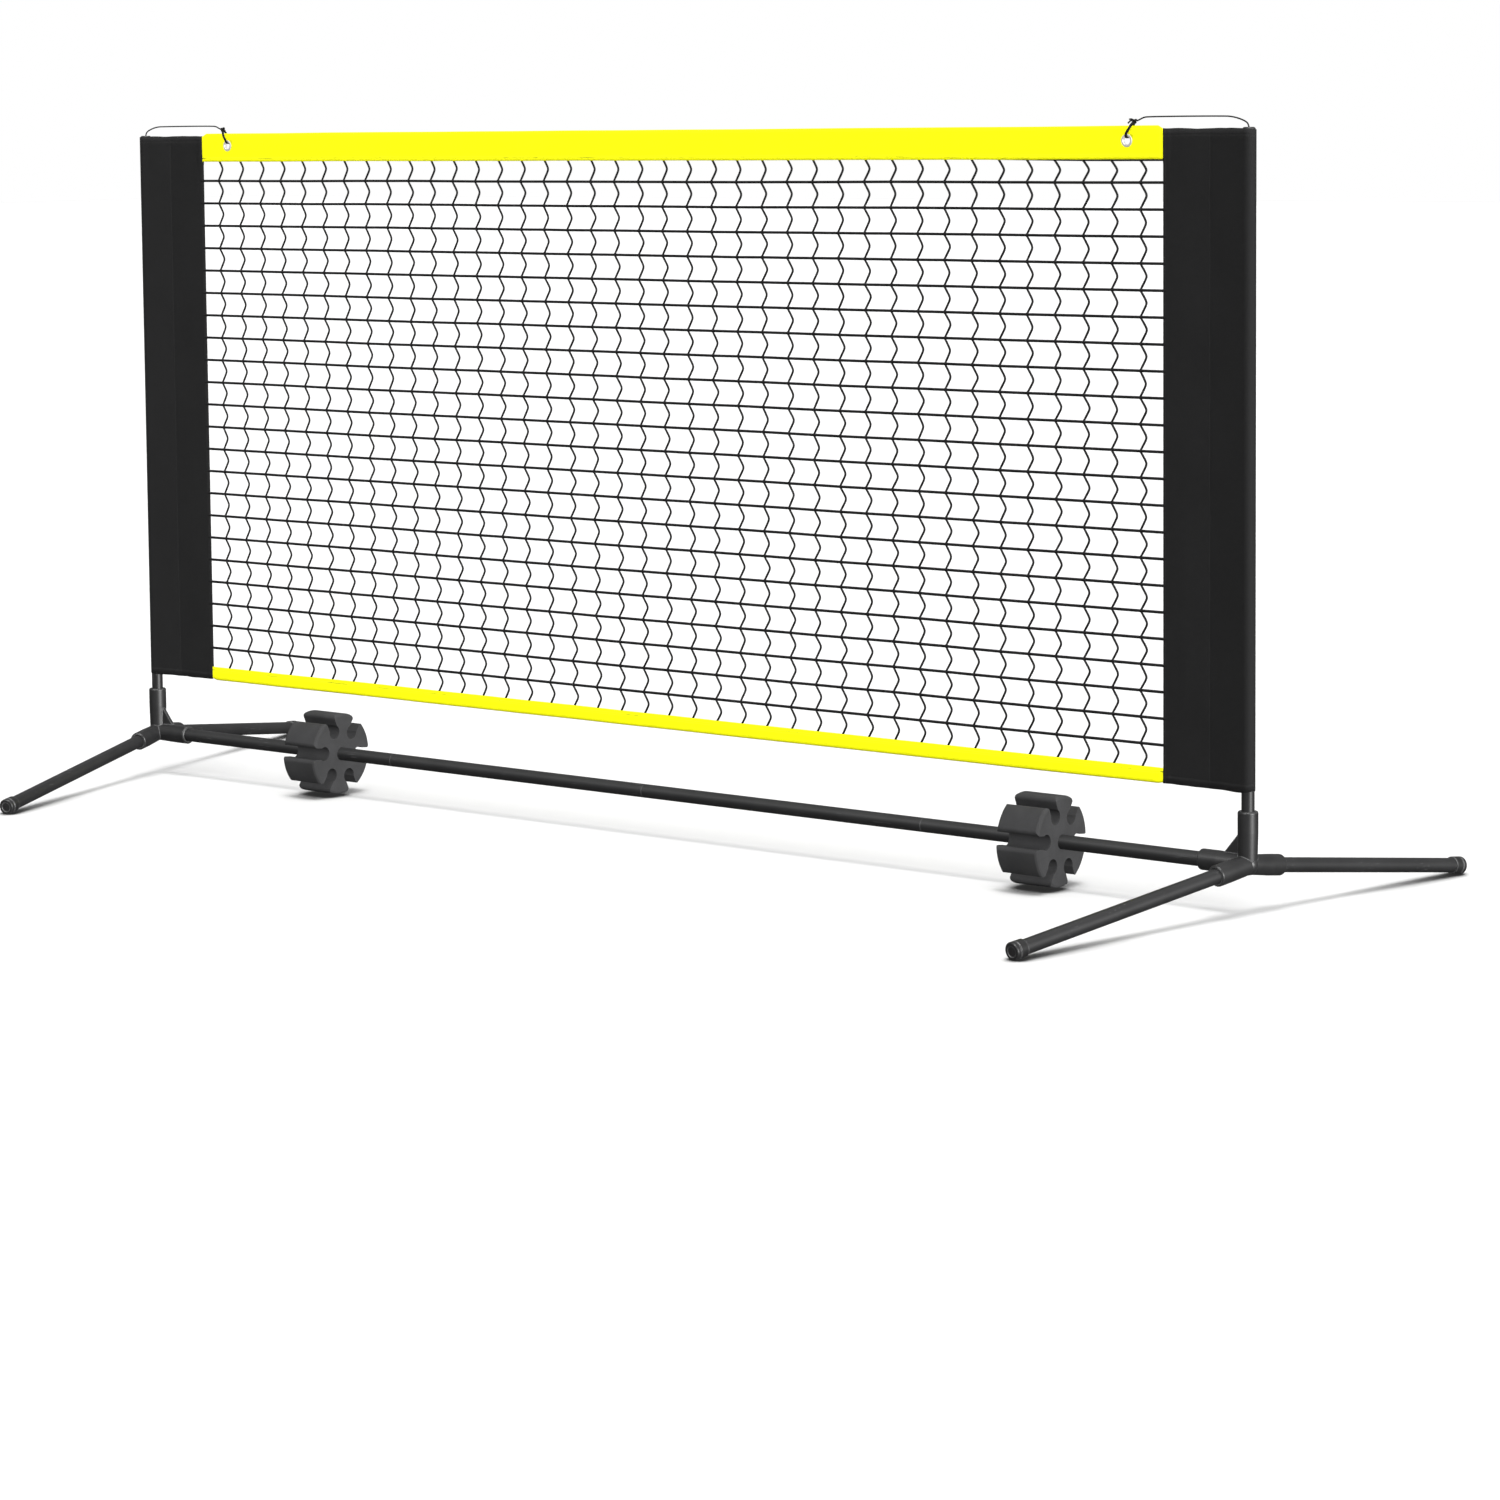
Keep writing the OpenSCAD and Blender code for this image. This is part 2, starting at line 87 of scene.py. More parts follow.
class Wiring:
    """Adds nodes to one node tree and joins them."""

    def __init__(self, tree: bpy.types.NodeTree) -> None:
        """Keeps the tree that the nodes go into."""
        self.tree = tree

    def feed(self, socket: Socket, value: object) -> None:
        """Links a socket into an input, or sets the input's own number or colour.

        Args:
            socket: The input.
            value: Another node's output, a number, or a colour or vector as a tuple.
        """
        if isinstance(value, Socket):
            self.tree.links.new(value, socket)
        elif isinstance(value, tuple) and len(value) == 3 and socket.type == "RGBA":
            socket.default_value = (*value, 1.0)
        else:
            socket.default_value = value

    def add(self, kind: str, inputs: dict | None = None, **settings: object) -> bpy.types.Node:
        """Adds a node.

        Args:
            kind: The shader node's own name.
            inputs: Values or sockets by input name or number.
            settings: The node's own properties.

        Returns:
            The new node.
        """
        node = self.tree.nodes.new("ShaderNode" + kind)
        for key, value in settings.items():
            setattr(node, key, value)
        for key, value in (inputs or {}).items():
            self.feed(node.inputs[key], value)
        return node

    def math(self, operation: str, *values: object, clamp: bool = False) -> Socket:
        """One step of arithmetic."""
        inputs = dict(enumerate(values))
        return self.add("Math", inputs, operation=operation, use_clamp=clamp).outputs[0]

    def times(self, first: object, second: object) -> Socket:
        """Two values multiplied."""
        return self.math("MULTIPLY", first, second)

    def lift(self, value: object, factor: object, base: object) -> Socket:
        """A value times a factor, added to a base."""
        return self.math("MULTIPLY_ADD", value, factor, base)

    def apart(self, first: object, second: object) -> Socket:
        """How far two values are apart."""
        return self.math("ABSOLUTE", self.math("SUBTRACT", first, second))

    def humps(self, count: object) -> Socket:
        """Rounded humps from 0 to 1, one to each whole number."""
        return self.math("ABSOLUTE", self.math("SINE", self.times(count, math.pi)))

    def ramp(
        self, value: object, low: float, high: float, start: float = 0.0, end: float = 1.0
    ) -> Socket:
        """A smooth step from start to end while value goes from low to high."""
        inputs = {0: value, 1: low, 2: high, 3: start, 4: end}
        return self.add("MapRange", inputs, interpolation_type="SMOOTHSTEP").outputs[0]

    def blend(self, share: object, first: object, second: object) -> Socket:
        """Two colours mixed, with this share of the second."""
        return self.add("Mix", {0: share, 6: first, 7: second}, data_type="RGBA").outputs[2]

    def between(self, share: object, first: object, second: object) -> Socket:
        """Two numbers mixed, with this share of the second."""
        return self.add("Mix", {0: share, 2: first, 3: second}, data_type="FLOAT").outputs[0]

    def noise(self, vector: object, scale: object, detail: float = 2.0, rough: float = 0.5) -> Socket:
        """Fractal noise, with so many bumps to the metre."""
        inputs = {"Vector": vector, "Scale": scale, "Detail": detail, "Roughness": rough}
        return self.add("TexNoise", inputs).outputs[0]

    def place(self) -> Socket:
        """Where a point lies on the object."""
        return self.add("TexCoord").outputs["Object"]

    def flat(self) -> Socket:
        """Where a point lies on the piece's own map."""
        return self.add("UVMap", uv_map=MAP).outputs[0]

    def axes(self, vector: object) -> Sequence[Socket]:
        """A vector's X, Y and Z."""
        return self.add("SeparateXYZ", {0: vector}).outputs


class Surface(Wiring):
    """A material's wiring, with its Principled shader."""

    def __init__(self, tree: bpy.types.NodeTree) -> None:
        """Adds the shader."""
        super().__init__(tree)
        self.shader = self.add("BsdfPrincipled")

    def put(self, name: str, value: object) -> None:
        """Feeds one input of the shader."""
        self.feed(self.shader.inputs[name], value)

    def coat(
        self, colour: object, rough: object, height: object, depth: float, strength: float = 1.0
    ) -> None:
        """Feeds the shader's colour, roughness and relief.

        Args:
            colour: The colour.
            rough: The roughness.
            height: The relief's height, about 0 to 1.
            depth: What a height of 1 is in metres.
            strength: How much of the relief shows.
        """
        relief = {"Height": height, "Distance": depth, "Strength": strength}
        self.put("Base Color", colour)
        self.put("Roughness", rough)
        self.put("Normal", self.add("Bump", relief).outputs[0])


class Inside(Wiring):
    """A node group's wiring, which reads the group's inputs by name."""

    def __init__(self, tree: bpy.types.NodeTree) -> None:
        """Adds the group's inputs."""
        super().__init__(tree)
        self.start = tree.nodes.new("NodeGroupInput")

    def __getitem__(self, name: str) -> Socket:
        """One of the group's inputs."""
        return self.start.outputs[name]


class Effect:
    """A shared surface effect: one node group, made once and placed with its own values."""

    takes: ClassVar[tuple[str, ...]]

    @classmethod
    def build(cls, w: Inside) -> Sockets:
        """Wires the group's inside and gives its outputs by name."""
        raise NotImplementedError

    @classmethod
    def group(cls) -> bpy.types.NodeTree:
        """Makes the node group, or finds it if it was made.

        Returns:
            The node group.
        """
        made = bpy.data.node_groups.get(cls.__name__)
        if made is None:
            made = bpy.data.node_groups.new(cls.__name__, "ShaderNodeTree")
            for name in cls.takes:
                kind = "NodeSocketVector" if name == "Vector" else "NodeSocketFloat"
                made.interface.new_socket(name, in_out="INPUT", socket_type=kind)
            w = Inside(made)
            given = cls.build(w)
            for name in given:
                made.interface.new_socket(name, in_out="OUTPUT", socket_type="NodeSocketFloat")
            end = made.nodes.new("NodeGroupOutput")
            for name, socket in given.items():
                w.feed(end.inputs[name], socket)
        return made

    @classmethod
    def place(cls, w: Wiring, **values: object) -> Sockets:
        """Puts the effect into a material with its own values, and gives its outputs by name."""
        return w.add("Group", values, node_tree=cls.group()).outputs


class Weave(Effect):
    """Over-and-under threads of a plain weave, with slubs."""

    takes = ("Vector", "Pitch")

    @classmethod
    def build(cls, w: Inside) -> Sockets:
        """Wires warp and weft and lets them change places square by square.

        Args:
            w: The group's wiring.

        Returns:
            Its outputs by name.
        """
        axes = w.axes(w["Vector"])
        threads = [w.math("DIVIDE", axes[i], w["Pitch"]) for i in (0, 1)]
        cells = w.math("ADD", *(w.math("FLOOR", count) for count in threads))
        over = w.math("ABSOLUTE", w.math("MODULO", cells, 2.0))
        slub = w.math("ADD", w.noise(w["Vector"], 260.0, 3.0, 0.6), 0.5)
        height = w.times(w.between(over, *(w.humps(count) for count in threads)), slub)
        return {"Height": height, "Shade": w.math("MULTIPLY_ADD", height, 0.7, 0.15, clamp=True)}


class Stitching(Effect):
    """A row of lockstitches along a line, and the puckers that it draws into the cloth."""

    takes = ("Along", "Across", "Line", "Pitch", "Width")

    @classmethod
    def build(cls, w: Inside) -> Sockets:
        """Wires the dashes and the softer dips beside them.

        Args:
            w: The group's wiring.

        Returns:
            Its outputs by name.
        """
        widths = w.math("DIVIDE", w.apart(w["Across"], w["Line"]), w["Width"])
        beat = w.math("FRACT", w.math("DIVIDE", w["Along"], w["Pitch"]))
        dash = w.ramp(w.apart(beat, 0.5), 0.42, 0.34)
        dip = w.lift(w.math("SINE", w.times(w["Along"], 520.0)), 0.25, -1.0)
        return {
            "Thread": w.times(dash, w.ramp(widths, 0.6, 0.35)),
            "Pucker": w.times(dip, w.ramp(widths, 5.0, 0.4)),
        }


class Grain(Effect):
    """Fine all-over grain with a slower drift in tone."""

    takes = ("Vector", "Size", "Drift")

    @classmethod
    def build(cls, w: Inside) -> Sockets:
        """Wires one fine and one slow noise.

        Args:
            w: The group's wiring.

        Returns:
            Its outputs by name.
        """
        fine = w.noise(w["Vector"], w.math("DIVIDE", 1.0, w["Size"]), 3.0, 0.55)
        slow = w.noise(w["Vector"], w.math("DIVIDE", 1.0, w["Drift"]), 4.0, 0.6)
        return {"Height": fine, "Tone": w.ramp(slow, 0.3, 0.7)}


class EdgeWearAndHighlight(Effect):
    """Edges picked out paler, in patches: rubbed wear on the powder coat and the foam, a painted
    highlight on the moulded plastic.
    """

    takes = ("Vector", "Radius")

    @classmethod
    def build(cls, w: Inside) -> Sockets:
        """Wires the difference between the rounded and the true normal.

        Args:
            w: The group's wiring.

        Returns:
            Its outputs by name.
        """
        soft = w.add("Bevel", {"Radius": w["Radius"]}, samples=4).outputs[0]
        true = w.add("NewGeometry").outputs["True Normal"]
        turn = w.add("VectorMath", {0: soft, 1: true}, operation="DOT_PRODUCT").outputs["Value"]
        patches = w.ramp(w.noise(w["Vector"], 90.0, 4.0, 0.6), 0.35, 0.65, 0.35, 1.0)
        return {"Mask": w.times(w.ramp(turn, 0.985, 0.86), patches)}


class Scuffs(Effect):
    """Long light marks, drawn out along the mapped Z."""

    takes = ("Vector", "Amount")

    @classmethod
    def build(cls, w: Inside) -> Sockets:
        """Wires a stretched noise, broken up by a slower one.

        Args:
            w: The group's wiring.

        Returns:
            Its outputs by name.
        """
        drawn = w.add("Mapping", {0: w["Vector"], "Scale": (1.0, 1.0, 0.06)}).outputs[0]
        lines = w.ramp(w.noise(drawn, 420.0), 0.63, 0.72)
        places = w.ramp(w.noise(w["Vector"], 14.0), 0.5, 0.68)
        return {"Mask": w.times(w.times(lines, places), w["Amount"])}


class Twist(Effect):
    """Strands laid round a cord, as a rope or, crossed with themselves, as a braid."""

    takes = ("Along", "Around", "Lay", "Strands", "Braid")

    @classmethod
    def build(cls, w: Inside) -> Sockets:
        """Wires one right-hand and one left-hand lay and mixes them by Braid.

        Args:
            w: The group's wiring.

        Returns:
            Its outputs by name.
        """
        turns = w.math("DIVIDE", w["Along"], w["Lay"])
        around = w.times(w["Around"], w["Strands"])
        lays = [w.humps(w.math(way, around, turns)) for way in ("ADD", "SUBTRACT")]
        return {"Height": w.between(w["Braid"], lays[0], w.math("MAXIMUM", *lays))}


# Finishes


@dataclass(frozen=True)
class Finish:
    """A material recipe. A subclass wires what varies over the surface."""

    name: str
    colour: Colour
    roughness: float
    specular: float = 0.5

    def wire(self, w: Surface) -> None:
        """Wires colour, roughness and relief into the material's shader."""
        raise NotImplementedError

    def material(self) -> bpy.types.Material:
        """Makes the material, or finds it if it was made.

        Returns:
            The material.
        """
        made = bpy.data.materials.get(self.name)
        if made is None:
            made = bpy.data.materials.new(self.name)
            made.use_nodes = True
            made.node_tree.nodes.clear()
            w = Surface(made.node_tree)
            w.put("Specular IOR Level", self.specular)
            self.wire(w)
            w.add("OutputMaterial", {"Surface": w.shader.outputs[0]})
        return made


@dataclass(frozen=True)
class Seam:
    """A row of stitches: at this distance from the cloth's middle line, across or along it."""

    line: float
    lengthwise: bool = True


@dataclass(frozen=True)
class Cloth(Finish):
    """Woven cloth with stitched seams, read from a map in metres whose origin is the cloth's middle."""

    valley: Colour = (0.0, 0.0, 0.0)
    thread: Colour = (0.0, 0.0, 0.0)
    pitch: float = 0.0009
    depth: float = 0.00012
    sheen: float = 0.0
    seams: tuple[Seam, ...] = ()
    stitch: float = 0.0032
    stitch_width: float = 0.0011

    def wire(self, w: Surface) -> None:
        """Wires weave with painted shade in its valleys, tone, seams and puckers.

        Args:
            w: The material's wiring.
        """
        flat = w.flat()
        axes = w.axes(flat)
        u, v = (w.math("ABSOLUTE", axes[i]) for i in (0, 1))
        weave = Weave.place(w, Vector=flat, Pitch=self.pitch)
        grain = Grain.place(w, Vector=flat, Size=0.0035, Drift=0.12)
        share = w.times(weave["Shade"], w.lift(grain["Tone"], 0.3, 0.8))
        # Painted shade: the weave's low points are mixed towards the darker valley colour.
        colour = w.blend(share, self.valley, self.colour)
        height = w.lift(grain["Height"], 0.35, weave["Height"])
        row = {"Pitch": self.stitch, "Width": self.stitch_width}
        for seam in self.seams:
            along, across = (axes[1], u) if seam.lengthwise else (axes[0], v)
            sewn = Stitching.place(w, Along=along, Across=across, Line=seam.line, **row)
            colour = w.blend(sewn["Thread"], colour, self.thread)
            height = w.lift(sewn["Thread"], 1.6, height)
            height = w.lift(sewn["Pucker"], 1.1, height)
        w.put("Sheen Weight", self.sheen)
        w.put("Sheen Roughness", 0.45)
        w.coat(colour, w.lift(grain["Tone"], 0.08, self.roughness - 0.04), height, self.depth)


@dataclass(frozen=True)
class Twine(Finish):
    """Twisted or braided cord, read from a map with X along it in metres and Y once round it."""

    valley: Colour = (0.0, 0.0, 0.0)
    lay: float = 0.004
    strands: float = 3.0
    braid: float = 0.0
    depth: float = 0.0003

    def wire(self, w: Surface) -> None:
        """Wires the strands, painted shade in the grooves between them, and a little fuzz.

        Args:
            w: The material's wiring.
        """
        axes = w.axes(w.flat())
        grain = Grain.place(w, Vector=w.place(), Size=0.0008, Drift=0.05)
        laid = Twist.place(
            w, Along=axes[0], Around=axes[1], Lay=self.lay, Strands=self.strands, Braid=self.braid
        )["Height"]
        # Painted shade: the grooves between strands are mixed towards the darker valley colour.
        share = w.times(laid, w.lift(grain["Tone"], 0.4, 0.6))
        rough = w.lift(grain["Height"], 0.2, self.roughness - 0.1)
        height = w.lift(grain["Height"], 0.25, laid)
        w.coat(w.blend(share, self.valley, self.colour), rough, height, self.depth)


@dataclass(frozen=True)
class PowderCoat(Finish):
    """Satin powder coat on a tube, scuffed along its length."""

    paler_tone: Colour = (0.1, 0.1, 0.1)
    turn: Point = (0.0, 0.0, 0.0)
    scuffed: float = 0.5
    edge: float = 0.0012

    def wire(self, w: Surface) -> None:
        """Wires orange peel, scuffs and worn edges.

        Args:
            w: The material's wiring.
        """
        place = w.place()
        laid = w.add("Mapping", {0: place, "Rotation": self.turn}).outputs[0]
        peel = Grain.place(w, Vector=place, Size=0.0014, Drift=0.09)
        scuff = Scuffs.place(w, Vector=laid, Amount=self.scuffed)["Mask"]
        edge_mark = EdgeWearAndHighlight.place(w, Vector=place, Radius=self.edge)["Mask"]
        worn = w.math("MAXIMUM", scuff, w.times(edge_mark, 0.8))
        base = w.blend(w.times(peel["Tone"], 0.04), self.colour, self.paler_tone)
        rough = w.lift(scuff, 0.15, w.lift(peel["Height"], 0.12, self.roughness - 0.06))
        height = w.lift(scuff, -0.4, peel["Height"])
        w.coat(w.blend(worn, base, self.paler_tone), rough, height, 0.00012, 0.6)


@dataclass(frozen=True)
class Moulded(Finish):
    """Moulded plastic with a fine spark grain and a painted highlight along its edges."""

    paler_tone: Colour = (0.1, 0.1, 0.1)
    grain: float = 0.0007
    depth: float = 0.00006
    edge: float = 0.0014

    def wire(self, w: Surface) -> None:
        """Wires grain, tone and the painted edge highlight.

        Args:
            w: The material's wiring.
        """
        place = w.place()
        grain = Grain.place(w, Vector=place, Size=self.grain, Drift=0.06)
        edge_mark = EdgeWearAndHighlight.place(w, Vector=place, Radius=self.edge)["Mask"]
        base = w.blend(w.times(grain["Tone"], 0.03), self.colour, self.paler_tone)
        rough = w.lift(edge_mark, -0.1, w.lift(grain["Height"], 0.16, self.roughness - 0.08))
        # Painted highlight: the edges are painted paler, standing in for light caught on the rims.
        w.coat(w.blend(w.times(edge_mark, 0.85), base, self.paler_tone), rough, grain["Height"], self.depth)


@dataclass(frozen=True)
class Foam(Finish):
    """Closed-cell foam: small open pores on cut faces, painted dark as shade, and a soft mottle."""

    painted_pore_shade: Colour = (0.01, 0.01, 0.01)
    bright: Colour = (0.1, 0.1, 0.1)
    cell: float = 0.0016
    edge: float = 0.003

    def wire(self, w: Surface) -> None:
        """Wires pores with painted shade, mottle and softened edges.

        Args:
            w: The material's wiring.
        """
        place = w.place()
        cells = w.add("TexVoronoi", {"Vector": place, "Scale": 1.0 / self.cell}).outputs["Distance"]
        grain = Grain.place(w, Vector=place, Size=0.006, Drift=0.05)
        edge_mark = EdgeWearAndHighlight.place(w, Vector=place, Radius=self.edge)["Mask"]
        pores = w.times(w.ramp(cells, 0.28, 0.08), w.ramp(grain["Height"], 0.5, 0.62))
        base = w.blend(w.times(grain["Tone"], 0.3), self.colour, self.bright)
        edged = w.blend(w.times(edge_mark, 0.5), base, self.bright)
        rough = w.lift(grain["Tone"], 0.08, self.roughness - 0.04)
        height = w.lift(grain["Height"], 0.8, w.lift(pores, -1.0, w.times(cells, 0.5)))
        # Painted shade: the pores are painted dark as well as sunk in the relief.
        w.coat(w.blend(pores, edged, self.painted_pore_shade), rough, height, 0.00035, 0.8)


@dataclass(frozen=True)
class Plate(Finish):
    """Plated metal with fine scratches."""

    dull: Colour = (0.4, 0.4, 0.4)
    metal: float = 1.0

    def wire(self, w: Surface) -> None:
        """Wires scratches and haze.

        Args:
            w: The material's wiring.
        """
        place = w.place()
        haze = Grain.place(w, Vector=place, Size=0.0012, Drift=0.012)
        lines = Scuffs.place(w, Vector=place, Amount=1.0)["Mask"]
        colour = w.blend(w.times(haze["Tone"], 0.5), self.colour, self.dull)
        rough = w.lift(lines, 0.12, w.lift(haze["Tone"], 0.14, self.roughness - 0.05))
        w.put("Metallic", self.metal)
        w.coat(colour, rough, haze["Height"], 0.00002)


@dataclass(frozen=True)
class Paper(Finish):
    """The studio's pale sweep of paper, flagged so that little light bounces back off it."""

    mirrored: float = 0.05
    bounced: float = 0.25
    # The colour and the reach of the painted contact shadow.
    painted_shadow: float = 0.03
    painted_shadow_reach: float = 0.055

    def wire(self, w: Surface) -> None:
        """Wires a faint tooth, a painted contact shadow close under things, and the tones that other
        rays see.

        Args:
            w: The material's wiring.
        """
        grain = Grain.place(w, Vector=w.place(), Size=0.004, Drift=1.5)
        # Painted shadow: the floor's colour is darkened where ambient occlusion finds things close
        # above it.
        opened = w.add("AmbientOcclusion", {"Distance": self.painted_shadow_reach}, samples=8).outputs["AO"]
        colour = w.blend(grain["Tone"], tuple(c * 0.995 for c in self.colour), self.colour)
        colour = w.blend(w.ramp(opened, 0.9, 0.45), colour, (self.painted_shadow,) * 3)
        rays = w.add("LightPath").outputs
        for ray, seen in (("Is Glossy Ray", self.mirrored), ("Is Diffuse Ray", self.bounced)):
            colour = w.blend(rays[ray], colour, (seen,) * 3)
        w.coat(colour, self.roughness, grain["Height"], 0.0001, 0.2)


LEG_TURN = math.radians(13.0)
BAND_HALF_GAP = 0.0031
CHARCOAL: Colour = (0.0082, 0.0082, 0.0086)
CHARCOAL_RUBBED: Colour = (0.09, 0.09, 0.092)

CROSSBAR_COAT = PowderCoat(
    "charcoal_coat_crossbar", CHARCOAL, 0.5, paler_tone=CHARCOAL_RUBBED, turn=(0.0, QUARTER, 0.0)
)
LEG_COAT = PowderCoat(
    "charcoal_coat_legs", CHARCOAL, 0.5, paler_tone=CHARCOAL_RUBBED, turn=(QUARTER, 0.0, LEG_TURN)
)
POLE_COAT = PowderCoat("black_coat_poles", (0.010, 0.010, 0.0103), 0.38, paler_tone=(0.09, 0.09, 0.09))
# The paler tone at the edges of the connector and the caps is a painted highlight.
CONNECTOR_PLASTIC = Moulded(
    "black_moulded_connector", (0.010, 0.010, 0.0103), 0.4, paler_tone=(0.2, 0.2, 0.202), edge=0.004
)
CAP_PLASTIC = Moulded(
    "black_soft_cap", (0.007, 0.007, 0.0072), 0.4, paler_tone=(0.2, 0.2, 0.202), grain=0.0011, edge=0.0025
)
ORGANIZER_FOAM = Foam(
    "grey_foam_organizer", (0.0265, 0.0265, 0.0273), 0.86, 0.22,
    painted_pore_shade=(0.011, 0.011, 0.012), bright=(0.05, 0.05, 0.052),
)
FERRULE_ZINC = Plate("zinc_ferrule", (0.55, 0.56, 0.58), 0.34, dull=(0.32, 0.33, 0.35))
EYELET_NICKEL = Plate("nickel_eyelet", (0.70, 0.69, 0.66), 0.3, dull=(0.5, 0.49, 0.46), metal=0.5)
CORD_BRAID = Twine(
    "black_braided_cord", (0.007, 0.007, 0.007), 0.6, 0.2,
    valley=(0.0015, 0.0015, 0.0015), lay=0.006, strands=6.0, braid=1.0,
)
SLEEVE_CLOTH = Cloth(
    "black_sleeve_cloth", (0.0090, 0.0090, 0.0093), 0.72, 0.2, valley=(0.004, 0.004, 0.0042),
    thread=(0.016, 0.016, 0.016), pitch=0.0011, sheen=0.02,
    seams=(Seam(0.1084), Seam(0.2095), Seam(0.6325, False), Seam(0.6305, False)),
)
NET_TWINE = Twine(
    "black_net_twine", (0.008, 0.008, 0.008), 0.62, 0.2, valley=(0.002, 0.002, 0.002), lay=0.005
)
STUDIO_PAPER = Paper("studio_paper", (0.58, 0.58, 0.58), 0.9, 0.1)


# Shaping


def add_piece(name: str, data: bpy.types.ID, finish: Finish | None = None) -> Piece:
    """Puts a mesh, curve, light or camera into the scene.

    Args:
        name: Its name.
        data: Its data.
        finish: Its finish, if it has one.

    Returns:
        The new object.
    """
    if finish:
        data.materials.clear()
        data.materials.append(finish.material())
    piece = bpy.data.objects.new(name, data)
    bpy.context.scene.collection.objects.link(piece)
    return piece


def to_mesh(name: str, bm: Cut) -> Mesh:
    """Turns a finished bmesh into a smooth-shaded mesh and frees it.

    Args:
        name: The mesh's name.
        bm: The bmesh.

    Returns:
        The mesh.
    """
    mesh = bpy.data.meshes.new(name)
    bm.to_mesh(mesh)
    bm.free()
    mesh.shade_smooth()
    return mesh


def hang_cloth(name: str, cloth: Cut, finish: Cloth, wall: float, node: str, **facts: object) -> Piece:
    """Args:
        name: The piece's name.
        cloth: The folded cloth.
        finish: Its finish.
        wall: Its thickness in metres.
        node: The solid that it stands for.
        facts: What is known of the sheet. Not used.

    Returns:
        The piece.
    """
    piece = add_piece(name, to_mesh(name, cloth), finish)
    solid = piece.modifiers.new("cloth_wall", "SOLIDIFY")
    solid.thickness, solid.offset, solid.use_even_offset = wall, -1.0, True
    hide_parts(node)
    return piece


def smooth_route(points: Sequence[Point], count: int) -> list[Vector]:
    """Lays evenly spaced points on a smooth curve through a route.

    Args:
        points: The route.
        count: How many points come back.

    Returns:
        The evenly spaced points, from the route's first to its last.
    """
    way = [Vector(p) for p in points]
    ends = [way[0] * 2 - way[1], *way, way[-1] * 2 - way[-2]]
    fine: list[Vector] = []
    for a, b, c, d in zip(ends, ends[1:], ends[2:], ends[3:]):
        for t in (step / SMOOTH_STEPS for step in range(SMOOTH_STEPS)):
            bent = (2 * a - 5 * b + 4 * c - d) * t**2 + (3 * b - a - 3 * c + d) * t**3
            fine.append(0.5 * (2 * b + (c - a) * t + bent))
    fine.append(way[-1])
    gone = [0.0]
    for p, q in zip(fine, fine[1:]):
        gone.append(gone[-1] + (q - p).length)
    spaced, i = [], 0
    for k in range(count):
        goal = gone[-1] * k / (count - 1)
        while i < len(fine) - 2 and gone[i + 1] < goal:
            i += 1
        spaced.append(fine[i].lerp(fine[i + 1], (goal - gone[i]) / max(gone[i + 1] - gone[i], 1e-9)))
    return spaced


def route_length(points: Sequence[Vector]) -> float:
    """The length of a line through points, in metres."""
    return sum((b - a).length for a, b in zip(points, points[1:]))


def tube_curve(
    name: str, routes: Iterable[Sequence[Vector]], radius: float, rounds: int, kind: str = "NURBS"
) -> bpy.types.Curve:
    """Makes round tubes along routes.

    Args:
        name: The curve's name.
        routes: Each tube's points.
        radius: The tubes' radius.
        rounds: The bevel's resolution: 1 gives six sides, 3 gives ten.
        kind: NURBS for a smooth run through the points, POLY for straight steps between them.

    Returns:
        The curve, with one open spline for each route.
    """
    curve = bpy.data.curves.new(name, "CURVE")
    curve.dimensions = "3D"
    curve.bevel_depth = radius
    curve.bevel_resolution = rounds
    curve.use_fill_caps = True
    for route in routes:
        spline = curve.splines.new(kind)
        spline.points.add(len(route) - 1)
        for point, place in zip(spline.points, route):
            point.co = (*place, 1.0)
        spline.use_smooth = True
        if kind == "NURBS":
            spline.order_u, spline.resolution_u, spline.use_endpoint_u = 4, 3, True
    return curve


def mesh_of_curve(curve: bpy.types.Curve, along: float) -> Mesh:
    """Turns a curve into a mesh whose map runs along it in metres.

    Args:
        curve: The curve, whose splines are all of one length.
        along: That length.

    Returns:
        The mesh.
    """
    holder = add_piece(curve.name + "_holder", curve)
    seen = holder.evaluated_get(bpy.context.evaluated_depsgraph_get())
    mesh = bpy.data.meshes.new_from_object(seen)
    bpy.data.objects.remove(holder)
    for layer in mesh.uv_layers:
        layer.name = MAP
        for loop in layer.data:
            loop.uv.x *= along
    return mesh


def join_meshes(name: str, meshes: Iterable[Mesh]) -> Mesh:
    """Gathers meshes into one.

    Args:
        name: The new mesh's name.
        meshes: What goes into it.

    Returns:
        The new mesh.
    """
    bm = bmesh.new()
    for mesh in meshes:
        bm.from_mesh(mesh)
        bpy.data.meshes.remove(mesh)
    return to_mesh(name, bm)


def cut_cloth(width: float, length: float, across: int, along: int) -> Cut:
    """Cuts a flat cloth on the table: a grid centred on the origin, X across and Y along.

    Args:
        width: Its size along X.
        length: Its size along Y.
        across: Cells along X.
        along: Cells along Y.

    Returns:
        The flat cloth, not yet mapped.
    """
    bm = bmesh.new()
    bmesh.ops.create_grid(bm, x_segments=across, y_segments=along, size=0.5)
    bmesh.ops.scale(bm, vec=(width, length, 1.0), verts=bm.verts)
    return bm


